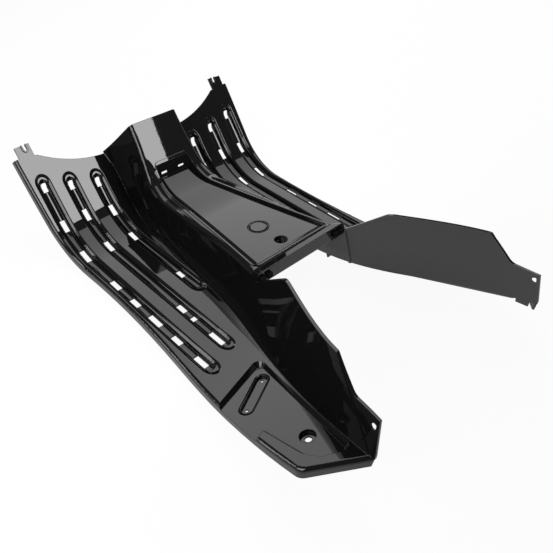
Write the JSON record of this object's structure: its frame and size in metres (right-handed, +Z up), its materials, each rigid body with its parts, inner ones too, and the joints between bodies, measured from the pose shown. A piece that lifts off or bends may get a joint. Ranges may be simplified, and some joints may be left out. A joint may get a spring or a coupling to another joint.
{
  "type": "scooter floorboard",
  "caption": "Moulded scooter floorboard with grooved foot treads, upturned leg shields, a battery tunnel closed by a lid, and rear wings beside sunk passenger platforms.",
  "frame": {"origin": "centre of the footprint, at the lower edge of the outer flanges", "axes": "+Y towards the front wheel, +X to the right across the vehicle, +Z up"},
  "size_m": [0.4612, 0.7068, 0.1739],
  "materials": {
    "floorboard_plastic": "gloss black",
    "cover_plastic": "gloss black"
  },
  "bodies": {
    "root": {"floorboard": "floorboard_plastic", "battery_cover": "cover_plastic"}
  },
  "joints": []
}
